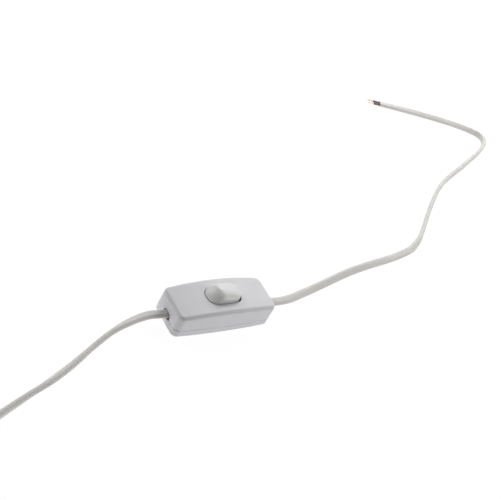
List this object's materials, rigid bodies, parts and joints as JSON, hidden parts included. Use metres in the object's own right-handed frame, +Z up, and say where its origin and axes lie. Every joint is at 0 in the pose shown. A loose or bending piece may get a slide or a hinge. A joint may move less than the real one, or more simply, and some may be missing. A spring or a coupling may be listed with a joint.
{
  "type": "switched lamp cord",
  "caption": "White in-line rocker switch in a crowned split housing on a flat lamp cord, with a tied coil and a mains plug at one end and stripped cores at the other.",
  "frame": {"origin": "middle of the switch housing's underside, on the surface that the cord lies on", "axes": "+X along the switch towards the lamp end, +Z up out of the rocker, +Y away from the camera"},
  "size_m": [0.5775, 0.2444, 0.0209],
  "materials": {
    "housing_white": "fine satin moulding",
    "rocker_white": "smooth, slightly glossy moulding",
    "cord_white": "soft satin jacket",
    "plug_white": "satin moulding",
    "tie_white": "satin strap",
    "clamp_plastic": "plain moulding",
    "sleeve_dark": "satin",
    "core_brown": "satin insulation",
    "core_blue": "satin insulation",
    "copper": "bare strands",
    "brass": "stamped",
    "contact_silver": "bright button",
    "screw_steel": "zinc plated",
    "spring_steel": "drawn wire",
    "pin_nickel": "nickel plated"
  },
  "bodies": {
    "housing": {"top_cover": "housing_white", "base": "housing_white", "fixed_contact": "contact_silver", "fulcrum_terminal": "brass", "contact_terminal": "brass", "neutral_link": "brass", "terminal_screws": "screw_steel", "clamp_screws": "screw_steel", "housing_screws": "screw_steel", "cord_clamp_left": "clamp_plastic", "cord_clamp_right": "clamp_plastic", "live_cores": "core_brown", "neutral_cores": "core_blue", "conductor_ends": "copper", "cord_left": "cord_white", "cord_right": "cord_white", "plug_tail": "cord_white", "cord_coil": "cord_white", "coil_tie": "tie_white", "plug_body": "plug_white", "plug_pins": "pin_nickel", "plug_sleeves": "sleeve_dark", "lamp_live_core": "core_brown", "lamp_neutral_core": "core_blue", "lamp_copper_ends": "copper"},
    "rocker": {"rocker": "rocker_white", "plunger_spring": "spring_steel"},
    "plunger": {"plunger": "clamp_plastic"},
    "seesaw": {"seesaw_contact": "brass", "moving_contact": "contact_silver"}
  },
  "joints": [
    {"name": "rocker_tilt", "type": "hinge", "parent": "housing", "child": "rocker", "pos_m": [0, 0, 0.0125], "axis": [0, 1, 0], "range_deg": [0, 16]},
    {"name": "seesaw_tilt", "type": "hinge", "parent": "housing", "child": "seesaw", "pos_m": [0, 0, 0.0056], "axis": [0, 1, 0], "range_deg": [-10, 0]},
    {"name": "plunger_slide", "type": "slide", "parent": "rocker", "child": "plunger", "axis": [-0.1392, 0, 0.9903], "range_m": [0, 0.0008], "stiffness_N_per_m": 400, "springref_m": -0.002, "deforming": ["plunger_spring"]}
  ],
  "couplings": [
    {"joint": "seesaw_tilt", "follows": "rocker_tilt", "ratio": -0.625}
  ]
}
